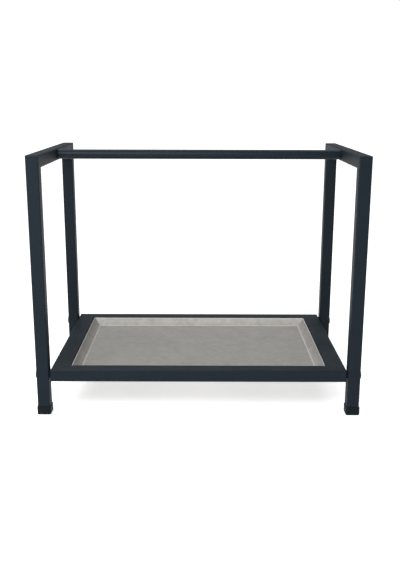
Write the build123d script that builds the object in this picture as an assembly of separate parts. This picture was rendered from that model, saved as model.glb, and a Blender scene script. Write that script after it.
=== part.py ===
"""Open rack for firewood: two mitred side frames of square tube, a round bar between
their top rails, and a low mitred shelf frame with a sheet-metal tray, bolted between the
legs on spacers.

Millimetres. X runs across the rack, Y from front to back and Z up. The origin is on the
floor, under the middle of the rack, and the front is at -Y.
"""

from build123d import *
import math
import os

# Steelwork, measured over the tubes.
WIDTH = 650
DEPTH = 405
HEIGHT = 520

# Square tube of the side frames, and the wall and corner radius that all box tube shares.
TUBE = 25
WALL = 1.5
TUBE_RADIUS = 2.5
FRAME_CORNER_RADIUS = 3

# Round bar between the top rails.
BAR_DIAMETER = 20
BAR_WALL = 2
BAR_END_CHAMFER = 0.8

# Shelf frame: front and rear rails mitred to wider side members, clear of the legs.
SHELF_TOP = 96
SHELF_GAP = 3
RAIL_DEPTH = 30
RAIL_HEIGHT = 25
SIDE_WIDTH = 37
BEARER_WIDTH = 25
BEARER_THICKNESS = 4
BEARER_OFFSET = 125

# Tray folded from sheet, lying on the bearers inside the shelf frame.
TRAY_SHEET = 1
TRAY_CLEARANCE = 1
TRAY_BELOW_TOP = 1.5
TRAY_DEPTH = 16
TRAY_SLOPE = 46
TRAY_RIM_WIDTH = 2
TRAY_RIM_DROP = 2

# Push-on cap at the bottom of each leg.
CAP_WALL = 1.5
CAP_FLOOR = 4
CAP_HEIGHT = 17
CAP_RADIUS = 3.5
CAP_BOTTOM_RADIUS = 2.5
CAP_FIT = 0.05

# Flat-headed socket bolts, and the tapped plugs that they screw into.
BOLT_SHANK = 7.8
BOLT_LENGTH = 45
BOLT_TIP_CHAMFER = 1
HEAD_DIAMETER = 17
HEAD_HEIGHT = 2.2
HEAD_BEVEL = 0.9
SOCKET_FLATS = 5
SOCKET_DEPTH = 2.5
BOLT_HOLE = 8.5
THREAD_HOLE = 8
PLUG_LENGTH = 20
PLUG_RECESS = 1
SPACER_DIAMETER = 16

HALF_WIDTH = WIDTH / 2
HALF_DEPTH = DEPTH / 2
INNER_HALF_WIDTH = HALF_WIDTH - TUBE
LEG_X = HALF_WIDTH - TUBE / 2
LEG_Y = HALF_DEPTH - TUBE / 2
RAIL_Z = SHELF_TOP - RAIL_HEIGHT / 2
RAIL_Y = HALF_DEPTH - RAIL_DEPTH / 2
RAIL_INNER_Y = HALF_DEPTH - RAIL_DEPTH
BAR_Z = HEIGHT - TUBE / 2
SHELF_HALF_WIDTH = INNER_HALF_WIDTH - SHELF_GAP
SIDE_INNER_X = SHELF_HALF_WIDTH - SIDE_WIDTH
SIDES = {"left": -1, "right": 1}
ENDS = {"front": -1, "rear": 1}


def along_x(x=0, y=0, z=0):
    """Work plane square to X: its own axes are Y and Z."""
    return Plane(origin=(x, y, z), x_dir=(0, 1, 0), z_dir=(1, 0, 0))


def along_y(x=0, y=0, z=0):
    """Work plane square to Y: its own axes are X and -Z."""
    return Plane(origin=(x, y, z), x_dir=(1, 0, 0), z_dir=(0, 1, 0))


def box_tube(plane, across, up, length):
    """Rectangular tube with rounded corners, from the plane forwards."""
    outside = RectangleRounded(across, up, TUBE_RADIUS)
    inside = RectangleRounded(across - 2 * WALL, up - 2 * WALL, TUBE_RADIUS - WALL)
    return extrude(plane * (outside - inside), length)


def cross_hole(diameter, x, y, z, length):
    """Round cutter along X, centred on a point."""
    return extrude(along_x(x - length / 2, y, z) * Circle(diameter / 2), length)


def side_prism(side, corners):
    """Side-on outline of one tube of a side frame, with the frame's rounded top corners."""
    tall = 2 * HEIGHT
    frame = Pos(0, HEIGHT - tall / 2) * RectangleRounded(DEPTH, tall, FRAME_CORNER_RADIUS)
    outline = Polygon(*corners, align=None) & frame
    return extrude(along_x(side * LEG_X) * outline, TUBE / 2, both=True)


def leg(side, end):
    """Upright tube, mitred at the top and drilled for its shelf bolt."""
    blank = box_tube(Plane((side * LEG_X, end * LEG_Y, CAP_FLOOR)), TUBE, TUBE, HEIGHT)
    outer = end * HALF_DEPTH
    inner = end * (HALF_DEPTH - TUBE)
    corners = [(inner, CAP_FLOOR), (outer, CAP_FLOOR), (outer, HEIGHT), (inner, HEIGHT - TUBE)]
    hole = cross_hole(BOLT_HOLE, side * LEG_X, end * LEG_Y, RAIL_Z, 2 * TUBE)
    return blank & side_prism(side, corners) - hole


def top_rail(side):
    """Top tube of a side frame, mitred at both ends and drilled for the bar's bolt."""
    blank = box_tube(along_y(side * LEG_X, -HALF_DEPTH, BAR_Z), TUBE, TUBE, DEPTH)
    inner = HALF_DEPTH - TUBE
    low = HEIGHT - TUBE
    corners = [(-inner, low), (inner, low), (HALF_DEPTH, HEIGHT), (-HALF_DEPTH, HEIGHT)]
    hole = cross_hole(BOLT_HOLE, side * LEG_X, 0, BAR_Z, 2 * TUBE)
    return blank & side_prism(side, corners) - hole


def foot(side, end):
    """Moulded cap: a square cup that grips the outside of the leg."""
    over = TUBE + 2 * CAP_WALL
    pocket_size = TUBE + 2 * CAP_FIT
    place = Pos(side * LEG_X, end * LEG_Y, 0)
    cup = extrude(RectangleRounded(over, over, CAP_RADIUS), CAP_HEIGHT)
    cup = fillet(cup.faces().sort_by(Axis.Z)[0].edges(), CAP_BOTTOM_RADIUS)
    pocket = extrude(RectangleRounded(pocket_size, pocket_size, TUBE_RADIUS), CAP_HEIGHT)
    return place * (cup - Pos(0, 0, CAP_FLOOR) * pocket)


def top_bar():
    """Round tube between the top rails, its ends turned to a small chamfer."""
    ring = Circle(BAR_DIAMETER / 2) - Circle(BAR_DIAMETER / 2 - BAR_WALL)
    bar = extrude(along_x(-INNER_HALF_WIDTH, 0, BAR_Z) * ring, 2 * INNER_HALF_WIDTH)
    for end in (0, -1):
        rim = bar.faces().sort_by(Axis.X)[end].outer_wire().edges()
        bar = chamfer(rim, BAR_END_CHAMFER)
    return bar


def shelf_prism(corners):
    """Plan of one tube of the shelf frame, with the frame's rounded outer corners."""
    frame = RectangleRounded(2 * SHELF_HALF_WIDTH, DEPTH, FRAME_CORNER_RADIUS)
    outline = Polygon(*corners, align=None) & frame
    return extrude(Pos(0, 0, RAIL_Z) * outline, RAIL_HEIGHT / 2, both=True)


def shelf_rail(end):
    """Front or rear rail of the shelf frame, mitred at both ends."""
    start = along_x(-SHELF_HALF_WIDTH, end * RAIL_Y, RAIL_Z)
    blank = box_tube(start, RAIL_DEPTH, RAIL_HEIGHT, 2 * SHELF_HALF_WIDTH)
    outer = end * HALF_DEPTH
    inner = end * RAIL_INNER_Y
    corners = [(-SHELF_HALF_WIDTH, outer), (SHELF_HALF_WIDTH, outer),
               (SIDE_INNER_X, inner), (-SIDE_INNER_X, inner)]
    return blank & shelf_prism(corners)


def shelf_side(side):
    """Wide side member of the shelf frame, mitred and drilled for its two bolts."""
    start = along_y(side * (SHELF_HALF_WIDTH - SIDE_WIDTH / 2), -HALF_DEPTH, RAIL_Z)
    blank = box_tube(start, SIDE_WIDTH, RAIL_HEIGHT, DEPTH)
    outer = side * SHELF_HALF_WIDTH
    inner = side * SIDE_INNER_X
    corners = [(outer, -HALF_DEPTH), (outer, HALF_DEPTH), (inner, RAIL_INNER_Y), (inner, -RAIL_INNER_Y)]
    member = blank & shelf_prism(corners)
    for end in ENDS.values():
        member -= cross_hole(BOLT_HOLE, outer, end * LEG_Y, RAIL_Z, 4 * WALL)
    return member


def shelf_spacer(side, end):
    """Plain ring on a shelf bolt, between the leg and the shelf frame."""
    x = side * (INNER_HALF_WIDTH - SHELF_GAP / 2)
    ring = cross_hole(SPACER_DIAMETER, x, end * LEG_Y, RAIL_Z, SHELF_GAP)
    return ring - cross_hole(BOLT_HOLE, x, end * LEG_Y, RAIL_Z, 2 * SHELF_GAP)


def tray_bearer(side):
    """Flat bar from rail to rail that the tray lies on."""
    top = SHELF_TOP - TRAY_BELOW_TOP - TRAY_DEPTH - TRAY_SHEET
    bar = Box(BEARER_WIDTH, 2 * RAIL_INNER_Y, BEARER_THICKNESS)
    return Pos(side * BEARER_OFFSET, 0, top - BEARER_THICKNESS / 2) * bar


def bark_tray():
    """Shallow tray: flat floor, four sloping walls and a narrow upright rim."""
    rim_top = SHELF_TOP - TRAY_BELOW_TOP
    floor = rim_top - TRAY_DEPTH
    wall_top = rim_top - TRAY_RIM_DROP
    rim_x = SIDE_INNER_X - TRAY_CLEARANCE
    rim_y = RAIL_INNER_Y - TRAY_CLEARANCE
    slope = math.radians(TRAY_SLOPE)
    wall_run = (wall_top - floor) / math.tan(slope)
    # How far out the underside of a wall lies from its face, measured level.
    level_sheet = TRAY_SHEET / math.sin(slope)

    def level(inset, z):
        return Pos(0, 0, z) * Rectangle(2 * (rim_x - inset), 2 * (rim_y - inset))

    floor_inset = TRAY_RIM_WIDTH + wall_run
    base = floor - TRAY_SHEET
    base_inset = floor_inset - level_sheet + TRAY_SHEET / math.tan(slope)
    rim_base = base + base_inset * math.tan(slope)
    outside = loft([level(base_inset, base), level(0, rim_base)], ruled=True)
    outside += extrude(level(0, rim_base), rim_top - rim_base)
    inside = loft([level(floor_inset, floor), level(TRAY_RIM_WIDTH, wall_top)], ruled=True)
    inside += extrude(level(TRAY_RIM_WIDTH, wall_top), TRAY_DEPTH)
    return outside - inside


def bolt(side, y, z):
    """Socket bolt with its flat bevelled head against the outside of a side frame."""
    head = Cylinder(HEAD_DIAMETER / 2, HEAD_HEIGHT, align=(Align.CENTER, Align.CENTER, Align.MIN))
    head = chamfer(head.edges().group_by(Axis.Z)[-1], HEAD_BEVEL)
    key = RegularPolygon(SOCKET_FLATS / 2, 6, major_radius=False)
    head -= Pos(0, 0, HEAD_HEIGHT - SOCKET_DEPTH) * extrude(key, HEAD_HEIGHT)
    shank = Cylinder(BOLT_SHANK / 2, BOLT_LENGTH, align=(Align.CENTER, Align.CENTER, Align.MAX))
    shank = chamfer(shank.edges().group_by(Axis.Z)[0], BOLT_TIP_CHAMFER)
    outward = Plane(origin=(side * HALF_WIDTH, y, z), x_dir=(0, 1, 0), z_dir=(side, 0, 0))
    return outward * (head + shank)


def rail_plug(side, end):
    """Tapped block inside a corner of the shelf frame, in line with the middle of the leg."""
    x = side * (SHELF_HALF_WIDTH - WALL - PLUG_RECESS - PLUG_LENGTH / 2)
    block = RectangleRounded(RAIL_DEPTH - 2 * WALL, RAIL_HEIGHT - 2 * WALL, TUBE_RADIUS - WALL)
    plug = extrude(along_x(x - PLUG_LENGTH / 2, end * RAIL_Y, RAIL_Z) * block, PLUG_LENGTH)
    return plug - cross_hole(THREAD_HOLE, x, end * LEG_Y, RAIL_Z, 2 * PLUG_LENGTH)


def bar_plug(side):
    """Tapped round plug inside one end of the top bar."""
    x = side * (INNER_HALF_WIDTH - PLUG_LENGTH / 2)
    plug = cross_hole(BAR_DIAMETER - 2 * BAR_WALL, x, 0, BAR_Z, PLUG_LENGTH)
    return plug - cross_hole(THREAD_HOLE, x, 0, BAR_Z, 2 * PLUG_LENGTH)


nodes = {
    "top_bar": top_bar(),
    "bark_tray": bark_tray(),
    "bar_end_plugs": [bar_plug(side) for side in SIDES.values()],
    "bar_bolts": [bolt(side, 0, BAR_Z) for side in SIDES.values()],
    "rail_end_plugs": [rail_plug(side, end) for side in SIDES.values() for end in ENDS.values()],
    "shelf_spacers": [
        shelf_spacer(side, end) for side in SIDES.values() for end in ENDS.values()
    ],
    "shelf_bolts": [
        bolt(side, end * LEG_Y, RAIL_Z) for side in SIDES.values() for end in ENDS.values()
    ],
}
for side_name, side in SIDES.items():
    nodes[f"{side_name}_top_rail"] = top_rail(side)
    nodes[f"shelf_{side_name}_side"] = shelf_side(side)
    nodes[f"{side_name}_tray_bearer"] = tray_bearer(side)
    for end_name, end in ENDS.items():
        nodes[f"{side_name}_{end_name}_leg"] = leg(side, end)
        nodes[f"{end_name}_{side_name}_foot"] = foot(side, end)
for end_name, end in ENDS.items():
    nodes[f"shelf_{end_name}_rail"] = shelf_rail(end)

os.makedirs("parts", exist_ok=True)
for name, shape in nodes.items():
    pieces = shape if isinstance(shape, list) else [shape]
    solids = [solid for piece in pieces for solid in piece.solids()]
    export_step(Compound(solids), f"parts/{name}.step")
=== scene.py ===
import math

import bmesh
import bpy
from mathutils import Matrix, Vector


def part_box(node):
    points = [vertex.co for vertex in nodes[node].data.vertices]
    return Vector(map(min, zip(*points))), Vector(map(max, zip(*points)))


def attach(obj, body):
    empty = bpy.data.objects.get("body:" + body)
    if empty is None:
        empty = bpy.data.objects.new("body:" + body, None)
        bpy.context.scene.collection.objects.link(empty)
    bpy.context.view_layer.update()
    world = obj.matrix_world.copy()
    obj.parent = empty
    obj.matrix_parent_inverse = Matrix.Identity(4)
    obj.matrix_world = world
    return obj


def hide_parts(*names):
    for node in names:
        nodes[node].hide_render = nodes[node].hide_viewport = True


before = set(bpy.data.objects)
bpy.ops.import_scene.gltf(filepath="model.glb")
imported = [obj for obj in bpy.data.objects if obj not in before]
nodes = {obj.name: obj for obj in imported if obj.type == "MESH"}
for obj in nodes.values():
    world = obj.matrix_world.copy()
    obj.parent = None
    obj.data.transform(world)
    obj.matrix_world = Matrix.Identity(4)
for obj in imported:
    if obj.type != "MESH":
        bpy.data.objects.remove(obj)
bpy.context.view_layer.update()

# --- Room ---------------------------------------------------------------------------
# A wide table of white translucent sheet, lit faintly from below so that shadows stay
# pale, under a broad soft light from overhead, a softbox and an even white studio.
TABLE_RADIUS = 30.0
TABLE_GLOW = 0.60


def shader(name):
    """A fresh material, its node tree and the one shader joined to its output."""
    material = bpy.data.materials.new(name)
    material.use_nodes = True
    tree = material.node_tree
    tree.nodes.clear()
    surface = tree.nodes.new("ShaderNodeBsdfPrincipled")
    output = tree.nodes.new("ShaderNodeOutputMaterial")
    tree.links.new(surface.outputs[0], output.inputs["Surface"])
    return material, tree, surface


def finished(name, mesh, material):
    """A mesh turned into an object of the scene with one material."""
    made = bpy.data.meshes.new(name)
    mesh.to_mesh(made)
    mesh.free()
    made.materials.append(material)
    piece = bpy.data.objects.new(name, made)
    bpy.context.scene.collection.objects.link(piece)
    return piece


sheet, _, sheet_surface = shader("table_sheet")
sheet_surface.inputs["Base Color"].default_value = (0.80, 0.80, 0.80, 1)
sheet_surface.inputs["Roughness"].default_value = 0.7
sheet_surface.inputs["Specular IOR Level"].default_value = 0.1
sheet_surface.inputs["Emission Color"].default_value = (1, 1, 1, 1)
sheet_surface.inputs["Emission Strength"].default_value = TABLE_GLOW
table = bmesh.new()
bmesh.ops.create_circle(table, cap_ends=True, segments=96, radius=TABLE_RADIUS)
finished("table", table, sheet)

# The studio's walls look white, but throw less light on the rack than they show.
WALL_LOOK = 1.05
WALL_LIGHT = 0.36
world = bpy.data.worlds.new("studio")
world.use_nodes = True
walls = world.node_tree.nodes["Background"]
walls.inputs["Color"].default_value = (1, 1, 1, 1)
seen = world.node_tree.nodes.new("ShaderNodeLightPath").outputs["Is Camera Ray"]
strength = world.node_tree.nodes.new("ShaderNodeMapRange")
strength.inputs["To Min"].default_value = WALL_LIGHT
strength.inputs["To Max"].default_value = WALL_LOOK
world.node_tree.links.new(seen, strength.inputs["Value"])
world.node_tree.links.new(strength.outputs[0], walls.inputs["Strength"])
bpy.context.scene.world = world
bpy.context.scene.view_settings.view_transform = "Standard"

overhead = bpy.data.lights.new("overhead", "SUN")
overhead.energy = 1.7
overhead.angle = math.radians(75)
overhead_holder = bpy.data.objects.new("overhead", overhead)
overhead_holder.rotation_euler = (math.radians(-20), math.radians(-8), 0)
bpy.context.scene.collection.objects.link(overhead_holder)

# A softbox high on the left in front gives the upright faces a gentle fall of light.
key = bpy.data.lights.new("key_softbox", "AREA")
key.shape = "RECTANGLE"
key.size = 1.4
key.size_y = 0.9
key.energy = 36
key_holder = bpy.data.objects.new("key_softbox", key)
key_holder.location = (-0.55, -1.20, 1.25)
key_holder.rotation_euler = Vector((0.40, 1.05, -0.88)).to_track_quat("-Z", "Y").to_euler()
key_holder.visible_camera = False
bpy.context.scene.collection.objects.link(key_holder)

# The camera stands about 63 cm up, square to the rack, and looks down on it a little.
LOOK_DOWN = 14.035
camera_data = bpy.data.cameras.new("camera")
camera_data.lens = 47.69
camera_data.sensor_width = 36.0
camera = bpy.data.objects.new("camera", camera_data)
camera.location = (0.0037, -1.6248, 0.6274)
turn = Matrix.Rotation(math.radians(0.04), 3, "Z")
tilt = Matrix.Rotation(math.radians(90 - LOOK_DOWN), 3, "X")
roll = Matrix.Rotation(math.radians(0.135), 3, "Z")
camera.rotation_euler = (turn @ tilt @ roll).to_euler()
bpy.context.scene.collection.objects.link(camera)
bpy.context.scene.camera = camera

# --- Side frames --------------------------------------------------------------------
# Two legs and a top rail of 25 mm square steel tube a side, cut at 45 degrees, welded
# and ground, then powder coated in a fine-textured blue-black.
leg_low, leg_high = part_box("right_rear_leg")
frame_top = Vector((leg_high.x, leg_high.y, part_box("right_top_rail")[1].z))
TUBE = leg_high.x - leg_low.x
TUBE_RADIUS = 0.0025
# Half the width of a ground weld at its crest, and where it has run out.
WELD_CREST = 0.0006
WELD_FOOT = 0.0042
SIDE_OF = {"left": -1, "right": 1}
END_OF = {"front": -1, "rear": 1}
X, Y, Z = range(3)


class Wire:
    """An output socket of a material's node tree. Arithmetic on it adds Math nodes."""

    def __init__(self, tree, socket=None):
        self.tree = tree
        self.socket = socket

    def node(self, kind, settings=None, sockets=None, output=0):
        """Adds a node: its settings first, then the values or links of its sockets."""
        made = self.tree.nodes.new(kind)
        for setting, value in (settings or {}).items():
            setattr(made, setting, value)
        for key, value in (sockets or {}).items():
            if isinstance(value, Wire):
                self.tree.links.new(value.socket, made.inputs[key])
            else:
                made.inputs[key].default_value = value
        return Wire(self.tree, made.outputs[output])

    def math(self, operation, *values):
        return self.node("ShaderNodeMath", {"operation": operation}, dict(enumerate(values)))

    def __add__(self, other):
        return self.math("ADD", self, other)

    def __radd__(self, other):
        return self.math("ADD", other, self)

    def __sub__(self, other):
        return self.math("SUBTRACT", self, other)

    def __rsub__(self, other):
        return self.math("SUBTRACT", other, self)

    def __mul__(self, other):
        return self.math("MULTIPLY", self, other)

    def __rmul__(self, other):
        return self.math("MULTIPLY", other, self)

    def __abs__(self):
        return self.math("ABSOLUTE", self)

    def between(self, low, high):
        """0 at low, 1 at high and smooth between them."""
        return self.node("ShaderNodeMapRange", {"interpolation_type": "SMOOTHSTEP"},
                         {"Value": self, "From Min": low, "From Max": high})

    def mix(self, factor, first, second):
        """The first colour where factor is 0, the second where it is 1."""
        return self.node("ShaderNodeMix", {"data_type": "RGBA"},
                         {0: factor, 6: first, 7: second}, output=2)

    def noise(self, scale, detail, roughness):
        """Noise over these coordinates, from about 0 to 1."""
        return self.node("ShaderNodeTexNoise", {}, {"Vector": self, "Scale": scale,
                         "Detail": detail, "Roughness": roughness})

    def moved(self, place=(0, 0, 0), stretch=(1, 1, 1)):
        """These coordinates measured from a place, then scaled along each axis."""
        shifted = self.node("ShaderNodeVectorMath", {"operation": "SUBTRACT"},
                            {0: self, 1: place})
        return self.node("ShaderNodeVectorMath", {"operation": "MULTIPLY"},
                         {0: shifted, 1: stretch})

    def split(self):
        """The three parts of a vector."""
        return [self.node("ShaderNodeSeparateXYZ", {}, {0: self}, output=axis)
                for axis in (X, Y, Z)]

    def bump(self, height, distance, strength):
        """A normal tilted by a height, on top of this one if it is a normal."""
        sockets = {"Height": height, "Distance": distance, "Strength": strength}
        if self.socket is not None:
            sockets["Normal"] = self
        return self.node("ShaderNodeBump", {}, sockets)

    def feed(self, surface, socket):
        self.tree.links.new(self.socket, surface.inputs[socket])


def coordinates(tree):
    return Wire(tree).node("ShaderNodeTexCoord", output=3)


def upward(tree):
    """How much a face looks up: 1 on top, 0 on the sides and -1 underneath."""
    return Wire(tree).node("ShaderNodeNewGeometry", output=1).split()[Z]


def powder_coat(name, edge_of=None, weld_of=None, smoothness=0.0):
    """Powder coat: fine grain, orange peel, faint dust on top and thinner paint on edges.

    edge_of gives the mask of the long edges, and weld_of the height of ground welds.
    smoothness takes roughness off a coat that flowed out more evenly.
    """
    coat_dark = (0.0045, 0.0085, 0.0128, 1)
    coat_light = (0.0065, 0.0112, 0.0162, 1)
    pale_dust = (0.12, 0.13, 0.13, 1)
    thin_coat = (0.026, 0.036, 0.044, 1)
    material, tree, surface = shader(name)
    place = coordinates(tree)
    clouds = place.noise(scale=9, detail=3, roughness=0.55)
    drifts = place.noise(scale=14, detail=4, roughness=0.6).between(0.35, 0.75)
    dust = upward(tree).between(0.5, 0.95) * drifts
    paint = place.mix(clouds, coat_dark, coat_light)
    paint = place.mix(dust * 0.07, paint, pale_dust)
    dullness = 0.49 - smoothness + 0.08 * clouds + 0.06 * dust
    if edge_of:
        rubbed = place.noise(scale=60, detail=4, roughness=0.7).between(0.45, 0.62)
        worn = edge_of(place) * rubbed
        paint = place.mix(worn * 0.14, paint, thin_coat)
        dullness = dullness - 0.06 * worn
    paint.feed(surface, "Base Color")
    dullness.feed(surface, "Roughness")
    surface.inputs["Specular IOR Level"].default_value = 0.09
    grain = place.noise(scale=1400, detail=2, roughness=0.6)
    orange_peel = place.noise(scale=330, detail=1, roughness=0.4)
    relief = Wire(tree).bump(grain, distance=0.00005, strength=0.5)
    relief = relief.bump(orange_peel, distance=0.00009, strength=0.45)
    if weld_of:
        relief = relief.bump(weld_of(place), distance=0.00025, strength=0.9)
    relief.feed(surface, "Normal")
    return material


def long_edges(name, along):
    """The mask of a straight tube's long edges, fullest along the middle of their rounding."""
    low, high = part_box(name)
    centre = (low + high) / 2
    half = (high - low) / 2
    near_wall = TUBE_RADIUS / 4

    def mask(place):
        parts = place.moved(centre).split()
        masks = [abs(parts[axis]).between(half[axis] - TUBE_RADIUS, half[axis] - near_wall)
                 for axis in (X, Y, Z) if axis != along]
        return masks[0] * masks[1]
    return mask


def ground_mitre(place):
    """A low hump along the 45 degree joints at the top corners, where welds were ground."""
    parts = place.split()
    off_joint = abs((frame_top.y - abs(parts[Y])) - (frame_top.z - parts[Z]))
    return 1.0 - off_joint.between(WELD_CREST, WELD_FOOT)


def bead(length, radius):
    """A weld bead along Z: a rod with the ripples of the weld pool and rounded ends."""
    ripple_pitch = 0.0019
    ripple_height = 0.07
    rings_a_ripple = 4
    end_taper = 0.75
    taper_power = 10
    rod = bmesh.new()
    bmesh.ops.create_cone(rod, cap_ends=True, segments=12, radius1=radius, radius2=radius,
                          depth=length)
    lengthwise = [edge for edge in rod.edges if edge.calc_length() > length / 2]
    bmesh.ops.subdivide_edges(rod, edges=lengthwise,
                              cuts=int(rings_a_ripple * length / ripple_pitch))
    for vert in rod.verts:
        along = abs(vert.co.z) / (length / 2)
        ripple = 1 + ripple_height * math.cos(math.tau * vert.co.z / ripple_pitch)
        taper = 1 - end_taper * along ** taper_power
        vert.co.x *= ripple * taper
        vert.co.y *= ripple * taper
    for face in rod.faces:
        face.smooth = len(face.verts) == 4
    return rod


def placed(start, direction):
    """The matrix that puts a shape made along Z at a point, pointing along a direction."""
    turned = Vector(direction).to_track_quat("Z", "Y").to_matrix().to_4x4()
    return Matrix.Translation(start) @ turned


def joined(shapes):
    """One mesh from pairs of a shape and its matrix."""
    whole = bmesh.new()
    for shape, matrix in shapes:
        part = bpy.data.meshes.new("part")
        shape.to_mesh(part)
        part.transform(matrix)
        whole.from_mesh(part)
        bpy.data.meshes.remove(part)
    return whole


for side in SIDE_OF:
    for piece, along in (("top_rail", Y), ("front_leg", Z), ("rear_leg", Z)):
        node = f"{side}_{piece}"
        nodes[node].data.materials[0] = powder_coat("coat_" + node, long_edges(node, along),
                                                    ground_mitre)

weld_paint = powder_coat("coat_welds")
# A bead across the inside of each top corner. It stops at the tube's rounded edges, and
# its middle stands a fifth of its radius off both of the faces that it joins.
MITRE_BEAD = 0.0024
MITRE_BEAD_STOP = 0.8 * TUBE_RADIUS
BEAD_STANDOFF = 0.2
corner_bead = bead(TUBE - 2 * MITRE_BEAD_STOP, MITRE_BEAD)
inner_y = frame_top.y - TUBE - BEAD_STANDOFF * MITRE_BEAD
inner_z = frame_top.z - TUBE - BEAD_STANDOFF * MITRE_BEAD
corners = [(side * (frame_top.x - TUBE / 2), end * inner_y, inner_z)
           for side in SIDE_OF.values() for end in END_OF.values()]
mitre_welds = joined([(corner_bead, placed(corner, (1, 0, 0))) for corner in corners])
welds = finished("mitre_welds", mitre_welds, weld_paint)
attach(welds, "root")

# --- Top bar ------------------------------------------------------------------------
# A 20 mm round steel tube between the two top rails, pulled tight against them by a bolt
# into a plug at each end. The powder coat flows out smoother on its round wall.
nodes["top_bar"].data.materials[0] = powder_coat("coat_top_bar", smoothness=0.15)

# --- Shelf frame --------------------------------------------------------------------
# Front and rear rails mitred to a wider tube at each side, with two flat bars welded in
# underneath for the tray. The frame stands clear of the legs, in the same powder coat.
SHELF_BEAD = 0.0021
side_low, side_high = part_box("shelf_right_side")
rail_low, rail_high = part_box("shelf_rear_rail")
bearer_low, bearer_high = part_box("right_tray_bearer")


def ground_shelf_mitre(place):
    """A low hump along the mitres between the shelf rails and the wider side members."""
    parts = place.split()
    slant = (rail_high.y - rail_low.y) / (side_high.x - side_low.x)
    off_joint = abs((frame_top.y - abs(parts[Y])) - slant * (side_high.x - abs(parts[X])))
    return 1.0 - off_joint.between(WELD_CREST, WELD_FOOT)


for node, along in (("shelf_front_rail", X), ("shelf_rear_rail", X), ("shelf_left_side", Y),
                    ("shelf_right_side", Y)):
    nodes[node].data.materials[0] = powder_coat("coat_" + node, long_edges(node, along),
                                                ground_shelf_mitre)
for node in ("left_tray_bearer", "right_tray_bearer"):
    nodes[node].data.materials[0] = powder_coat("coat_" + node)

# Beads that the tray hides from above: up the inner corners, and under the bearers' ends.
CORNER_BEAD_LENGTH = 0.014
CORNER_BEAD_MIDDLE = 0.6 * CORNER_BEAD_LENGTH
BEARER_WELDED = 0.84
upright_bead = bead(CORNER_BEAD_LENGTH, SHELF_BEAD)
bearer_bead = bead(BEARER_WELDED * (bearer_high.x - bearer_low.x), SHELF_BEAD)
standoff = BEAD_STANDOFF * SHELF_BEAD
joint_y = rail_low.y - standoff
shelf_beads = []
for side in SIDE_OF.values():
    for end in END_OF.values():
        corner = (side * (side_low.x - standoff), end * joint_y,
                  rail_low.z + CORNER_BEAD_MIDDLE)
        under = (side * (bearer_low.x + bearer_high.x) / 2, end * joint_y,
                 bearer_low.z - standoff)
        shelf_beads += [(upright_bead, placed(corner, (0, 0, 1))),
                        (bearer_bead, placed(under, (1, 0, 0)))]
welds = finished("shelf_welds", joined(shelf_beads), weld_paint)
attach(welds, "root")

# --- Bark tray ----------------------------------------------------------------------
# A shallow tray folded from 1 mm zinc-coated sheet, with sloping walls and its edge
# hemmed over outwards. It lies loose on the bearers inside the shelf frame, and its
# floor is dulled by a film of bark dust.
tray_low, tray_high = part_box("bark_tray")
SHEET = 0.001
HEM = 0.002
HEM_DROP = 0.0042
WALL_SLOPE = math.radians(46)
CORNER_ROUNDING = 0.0022
INSIDE_FOLD = 0.0016
OUTSIDE_FOLD = 0.0024
HEM_FOLD = 0.0009
HEM_FOOT_ROUNDING = 0.0004
FOLD_SEGMENTS = 4
LEAST_FOLD = math.radians(20)
SAME_HEIGHT = 1e-5
tray_floor = tray_low.z + SHEET
wall_top = tray_high.z - HEM
wall_run = (wall_top - tray_floor) / math.tan(WALL_SLOPE)
level_sheet = SHEET / math.sin(WALL_SLOPE)
floor_inset = HEM + wall_run
base_inset = floor_inset - level_sheet + SHEET / math.tan(WALL_SLOPE)
hem_low = tray_high.z - HEM_DROP
hem_inset = base_inset - (hem_low - tray_low.z) / math.tan(WALL_SLOPE)


def soft(mesh, edges, radius, segments):
    """Rounds some edges of a mesh."""
    bmesh.ops.bevel(mesh, geom=list(edges), offset=radius, offset_type="OFFSET",
                    affect="EDGES", segments=segments, profile=0.5, material=-1)


tray = bmesh.new()
bmesh.ops.create_grid(tray, x_segments=1, y_segments=1, size=1)
for vert in tray.verts:
    vert.co.x *= tray_high.x - floor_inset
    vert.co.y *= tray_high.y - floor_inset
    vert.co.z = tray_floor
rim = list(tray.edges)
folds = {"floor": list(rim)}
for fold, inset, height in (("wall", HEM, wall_top), ("hem_inside", HEM, tray_high.z),
                            ("hem_top", 0, tray_high.z), ("hem_foot", 0, hem_low),
                            ("hem_back", hem_inset, hem_low), ("base", base_inset, tray_low.z)):
    grown = bmesh.ops.extrude_edge_only(tray, edges=rim)["geom"]
    for vert in (part for part in grown if isinstance(part, bmesh.types.BMVert)):
        vert.co = (math.copysign(tray_high.x - inset, vert.co.x),
                   math.copysign(tray_high.y - inset, vert.co.y), height)
    rim = [part for part in grown if isinstance(part, bmesh.types.BMEdge) and part.is_boundary]
    folds[fold] = list(rim)
bmesh.ops.edgeloop_fill(tray, edges=rim)
bmesh.ops.recalc_face_normals(tray, faces=tray.faces)
flat_folds = {edge for loop in folds.values() for edge in loop}
wall_corners = [edge for edge in tray.edges if edge not in flat_folds]
soft(tray, wall_corners, CORNER_ROUNDING, FOLD_SEGMENTS)
level = [edge for edge in tray.edges
         if abs(edge.verts[0].co.z - edge.verts[1].co.z) < SAME_HEIGHT
         and len(edge.link_faces) == 2 and edge.calc_face_angle(0) > LEAST_FOLD]
for height, radius in ((tray_floor, INSIDE_FOLD), (tray_low.z, OUTSIDE_FOLD),
                       (wall_top, HEM_FOLD), (tray_high.z, HEM_FOLD),
                       (hem_low, HEM_FOOT_ROUNDING)):
    fold = [edge for edge in level
            if edge.is_valid and abs(edge.verts[0].co.z - height) < SAME_HEIGHT]
    soft(tray, fold, radius, FOLD_SEGMENTS)
for face in tray.faces:
    face.smooth = True

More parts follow.
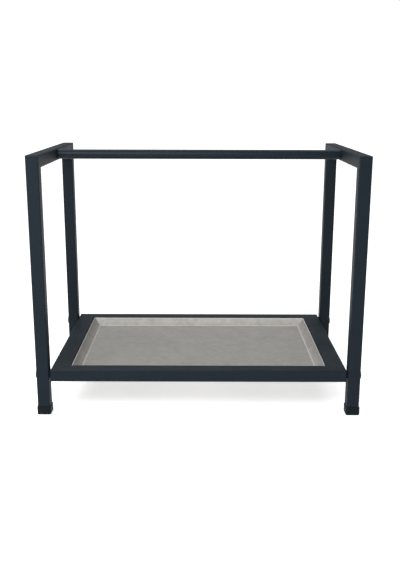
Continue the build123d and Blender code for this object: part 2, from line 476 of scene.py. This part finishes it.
ZINC_DARK = (0.230, 0.223, 0.207, 1)
ZINC_LIGHT = (0.272, 0.264, 0.246, 1)
SPANGLE_BRIGHT = (0.44, 0.425, 0.40, 1)
SCUFFED_ZINC = (0.50, 0.485, 0.46, 1)
# A lighter zinc colour, painted on as highlights along the inside fold and the top of the hem.
HIGHLIGHT_ZINC = (0.62, 0.60, 0.57, 1)
BARK_DUST = (0.125, 0.122, 0.112, 1)
zinc, zinc_tree, zinc_surface = shader("zinc_sheet")
place = coordinates(zinc_tree)
height = place.split()[Z]
level_look = upward(zinc_tree)
rolled = place.moved(stretch=(3, 260, 60)).noise(scale=1, detail=4, roughness=0.6)
mottle = place.noise(scale=26, detail=5, roughness=0.62)
spangle = place.node("ShaderNodeTexVoronoi", {"feature": "F1"},
                     {"Vector": place, "Scale": 120, "Randomness": 1.0}, output=1).split()[X]
scuffs = place.moved(stretch=(30, 500, 100)).noise(scale=1, detail=3, roughness=0.7)
scuffs = scuffs.between(0.60, 0.72)
bark_film = level_look.between(0.98, 0.999) * (0.75 + 0.25 * mottle)
# Painted highlights: a lighter zinc along the rounded inside fold between floor and walls, and
# along the top of the hem, where the folds would catch the light.
fold_highlight = 1.0 - abs(height - tray_floor).between(0.0004, 0.0018)
fold_highlight = fold_highlight * level_look.between(0.70, 0.80)
fold_highlight = fold_highlight * (1.0 - level_look.between(0.97, 0.998))
hem_highlight = height.between(wall_top, tray_high.z - HEM / 4)
tone = place.mix(mottle.between(0.3, 0.7), ZINC_DARK, ZINC_LIGHT)
tone = place.mix(spangle * 0.20, tone, SPANGLE_BRIGHT)
tone = place.mix(scuffs * 0.22, tone, SCUFFED_ZINC)
tone = place.mix(bark_film * 0.38, tone, BARK_DUST)
tone = place.mix(fold_highlight * 0.3, tone, HIGHLIGHT_ZINC)
tone = place.mix(hem_highlight * 0.5, tone, HIGHLIGHT_ZINC)
tone.feed(zinc_surface, "Base Color")
(0.50 + 0.10 * rolled + 0.08 * mottle - 0.06 * scuffs).feed(zinc_surface, "Roughness")
zinc_surface.inputs["Metallic"].default_value = 0.45
relief = Wire(zinc_tree).bump(rolled, distance=0.00004, strength=0.4)
relief.bump(mottle, distance=0.0003, strength=0.25).feed(zinc_surface, "Normal")

tray_piece = finished("folded_bark_tray", tray, zinc)
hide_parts("bark_tray")
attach(tray_piece, "root")

# --- Foot caps ----------------------------------------------------------------------
# A cup moulded from black polyethylene, pushed over the bottom of each leg. It has
# rounded corners, a softened lip and a shallow groove under its sole.
CAP_CORNER = 0.0035
CAP_SOLE_RADIUS = 0.0025
CAP_LIP = 0.0005
CAP_CLEARANCE = 0.00005
SOLE_THICKNESS = 0.004
# The groove's outer and inner edges, as shares of the flat of the sole.
GROOVE_OUTSIDE = 0.70
GROOVE_INSIDE = 0.60
GROOVE_DEPTH = 0.0006
# The least upward part of the normal of a face that counts as level.
LEVEL_FACE = 0.99


def facing(mesh, direction, height):
    """The faces at one height that look straight up or straight down."""
    return [face for face in mesh.faces if face.normal.z * direction > LEVEL_FACE
            and abs(face.calc_center_median().z - height) < SAME_HEIGHT]


def outline(faces):
    """The outer edges of a patch of faces."""
    patch = set(faces)
    return [edge for face in faces for edge in face.edges
            if len(set(edge.link_faces) & patch) == 1]


def sink(mesh, faces, scale, rise):
    """Extrudes a patch, scales it about its own middle and lifts it."""
    grown = bmesh.ops.extrude_face_region(mesh, geom=faces)["geom"]
    verts = [part for part in grown if isinstance(part, bmesh.types.BMVert)]
    middle = sum((vert.co for vert in verts), Vector()) / len(verts)
    for vert in verts:
        vert.co = Vector((middle.x + scale * (vert.co.x - middle.x),
                          middle.y + scale * (vert.co.y - middle.y), vert.co.z + rise))
    bmesh.ops.delete(mesh, geom=faces, context="FACES")
    return [part for part in grown if isinstance(part, bmesh.types.BMFace)]


def foot_cap(name):
    """Cup over the end of a leg, from the box of its CAD node."""
    low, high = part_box(name)
    size = high - low
    cap = bmesh.new()
    bmesh.ops.create_cube(cap, size=1)
    bmesh.ops.scale(cap, vec=size, verts=cap.verts)
    bmesh.ops.translate(cap, vec=(low + high) / 2, verts=cap.verts)
    upright = [edge for edge in cap.edges
               if abs(edge.verts[0].co.z - edge.verts[1].co.z) > size.z / 2]
    soft(cap, upright, CAP_CORNER, segments=6)
    soft(cap, outline(facing(cap, -1, low.z)), CAP_SOLE_RADIUS, segments=5)
    wall = (size.x - TUBE) / 2 - CAP_CLEARANCE
    mouth = facing(cap, 1, high.z)
    bmesh.ops.inset_region(cap, faces=mouth, thickness=wall, use_even_offset=True)
    sink(cap, mouth, 1, low.z + SOLE_THICKNESS - high.z)
    soft(cap, outline(facing(cap, 1, high.z)), CAP_LIP, segments=3)
    sole = facing(cap, -1, low.z)
    sole = sink(cap, sole, GROOVE_OUTSIDE, 0)
    sole = sink(cap, sole, 1, GROOVE_DEPTH)
    sole = sink(cap, sole, GROOVE_INSIDE / GROOVE_OUTSIDE, 0)
    sink(cap, sole, 1, -GROOVE_DEPTH)
    bmesh.ops.recalc_face_normals(cap, faces=cap.faces)
    return cap


PLASTIC_DARK = (0.0022, 0.0046, 0.0062, 1)
PLASTIC_LIGHT = (0.0038, 0.0066, 0.0084, 1)
FLOOR_DUST = (0.13, 0.13, 0.125, 1)
DUSTY_HEIGHT = 0.009
moulded, moulded_tree, moulded_surface = shader("moulded_black")
place = coordinates(moulded_tree)
grain = place.noise(scale=1900, detail=3, roughness=0.65)
flow = place.moved(stretch=(40, 40, 160)).noise(scale=1, detail=3, roughness=0.6)
specks = place.noise(scale=300, detail=3, roughness=0.7).between(0.35, 0.7)
floor_dust = (1.0 - place.split()[Z].between(0.0, DUSTY_HEIGHT)) * specks
tone = place.mix(flow, PLASTIC_DARK, PLASTIC_LIGHT)
tone = place.mix(floor_dust * 0.04, tone, FLOOR_DUST)
tone.feed(moulded_surface, "Base Color")
(0.50 + 0.14 * grain + 0.10 * floor_dust).feed(moulded_surface, "Roughness")
moulded_surface.inputs["Specular IOR Level"].default_value = 0.09
relief = Wire(moulded_tree).bump(grain, distance=0.00006, strength=0.6)
relief.bump(flow, distance=0.00015, strength=0.2).feed(moulded_surface, "Normal")

for end in END_OF:
    for side in SIDE_OF:
        node = f"{end}_{side}_foot"
        cap = finished(f"cap_{end}_{side}", foot_cap(node), moulded)
        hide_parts(node)
        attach(cap, "root")

# --- Bolts --------------------------------------------------------------------------
# Flat-headed steel furniture bolts with a hexagon socket and a bevelled head, black
# finished: four through the legs into the shelf corners, and one at each end of the bar.
HEAD_RADIUS = 0.0085
HEAD_HEIGHT = 0.0022
HEAD_BEVEL = 0.0009
BEVEL_WIDTH = 1.4 * HEAD_BEVEL
BEVEL_STEPS = 5
UNDERSIDE_CHAMFER = 0.0003
SOCKET_FLATS = 0.005
SOCKET_DEPTH = 0.0025
SOCKET_CHAMFER = 0.0003
CUTS_A_FLAT = 7
SHANK_RADIUS = 0.0039
SHANK_LENGTH = 0.045
TIP_CHAMFER = 0.001


def socket_bolt():
    """A bolt with its head up: grown from the floor of its socket, ring by ring."""
    bolt = bmesh.new()
    bmesh.ops.create_circle(bolt, cap_ends=True, segments=6, radius=SOCKET_FLATS / math.sqrt(3))
    flats = [edge for edge in bolt.edges if edge.is_boundary]
    bmesh.ops.subdivide_edges(bolt, edges=flats, cuts=CUTS_A_FLAT)
    bmesh.ops.translate(bolt, vec=(0, 0, HEAD_HEIGHT - SOCKET_DEPTH), verts=bolt.verts)
    rim = [edge for edge in bolt.edges if edge.is_boundary]

    def grow(rim, height, radius=None, spread=0.0):
        """The next ring at a height: of a given radius, or spread out from this one."""
        grown = bmesh.ops.extrude_edge_only(bolt, edges=rim)["geom"]
        for vert in (part for part in grown if isinstance(part, bmesh.types.BMVert)):
            outward = Vector((vert.co.x, vert.co.y, 0))
            reach = radius if radius else outward.length + spread
            vert.co = outward.normalized() * reach + Vector((0, 0, height))
        return [part for part in grown
                if isinstance(part, bmesh.types.BMEdge) and part.is_boundary]

    rim = grow(rim, HEAD_HEIGHT - SOCKET_CHAMFER)
    rim = grow(rim, HEAD_HEIGHT, spread=SOCKET_CHAMFER)
    rim = grow(rim, HEAD_HEIGHT, HEAD_RADIUS - BEVEL_WIDTH)
    for step in range(1, BEVEL_STEPS):
        angle = math.radians(90 * step / BEVEL_STEPS)
        rim = grow(rim, HEAD_HEIGHT - HEAD_BEVEL * (1 - math.cos(angle)),
                   HEAD_RADIUS - BEVEL_WIDTH * (1 - math.sin(angle)))
    rim = grow(rim, HEAD_HEIGHT - HEAD_BEVEL, HEAD_RADIUS)
    rim = grow(rim, UNDERSIDE_CHAMFER, HEAD_RADIUS)
    rim = grow(rim, 0, HEAD_RADIUS - UNDERSIDE_CHAMFER)
    rim = grow(rim, 0, SHANK_RADIUS)
    rim = grow(rim, TIP_CHAMFER - SHANK_LENGTH, SHANK_RADIUS)
    rim = grow(rim, -SHANK_LENGTH, SHANK_RADIUS - TIP_CHAMFER)
    bmesh.ops.edgeloop_fill(bolt, edges=rim)
    bmesh.ops.recalc_face_normals(bolt, faces=bolt.faces)
    return bolt


FINISH_DARK = (0.012, 0.015, 0.019, 1)
FINISH_LIGHT = (0.024, 0.028, 0.033, 1)
HANDLED_STEEL = (0.07, 0.07, 0.07, 1)
black, black_tree, black_surface = shader("black_finished_steel")
place = coordinates(black_tree)
patina = place.noise(scale=420, detail=4, roughness=0.65)
handled = place.noise(scale=1500, detail=3, roughness=0.6).between(0.55, 0.70)
tone = place.mix(patina, FINISH_DARK, FINISH_LIGHT)
tone = place.mix(handled * 0.3, tone, HANDLED_STEEL)
tone.feed(black_surface, "Base Color")
(0.34 + 0.16 * patina).feed(black_surface, "Roughness")
black_surface.inputs["Metallic"].default_value = 0.3
relief = Wire(black_tree).bump(patina, distance=0.00004, strength=0.4)
relief.feed(black_surface, "Normal")

leg_centre_y = frame_top.y - TUBE / 2
rail_centre_z = (rail_low.z + rail_high.z) / 2
shelf_places = [(side * frame_top.x, end * leg_centre_y, rail_centre_z)
                for side in SIDE_OF.values() for end in END_OF.values()]
bar_places = [(side * frame_top.x, 0, frame_top.z - TUBE / 2) for side in SIDE_OF.values()]
bolt = socket_bolt()
for node, places in (("shelf_bolts", shelf_places), ("bar_bolts", bar_places)):
    heads = joined([(bolt, placed(point, (point[X], 0, 0))) for point in places])
    piece = finished(node + "_socket_head", heads, black)
    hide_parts(node)
    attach(piece, "root")

# --- Spacers and end plugs ----------------------------------------------------------
# Rings of the caps' black plastic on the shelf bolts, between leg and shelf frame, and
# tapped steel blocks inside the shelf corners and bar ends, zinc plated after turning.
nodes["shelf_spacers"].data.materials[0] = moulded

PLATE_DULL = (0.40, 0.40, 0.41, 1)
PLATE_BRIGHT = (0.50, 0.50, 0.50, 1)
plate, plate_tree, plate_surface = shader("zinc_plated_plug")
place = coordinates(plate_tree)
turned = place.moved(stretch=(2600, 90, 90)).noise(scale=1, detail=2, roughness=0.5)
bloom = place.noise(scale=180, detail=4, roughness=0.6)
place.mix(bloom, PLATE_DULL, PLATE_BRIGHT).feed(plate_surface, "Base Color")
(0.30 + 0.18 * bloom).feed(plate_surface, "Roughness")
plate_surface.inputs["Metallic"].default_value = 0.9
relief = Wire(plate_tree).bump(turned, distance=0.00005, strength=0.5)
relief.feed(plate_surface, "Normal")
for node in ("rail_end_plugs", "bar_end_plugs"):
    nodes[node].data.materials[0] = plate
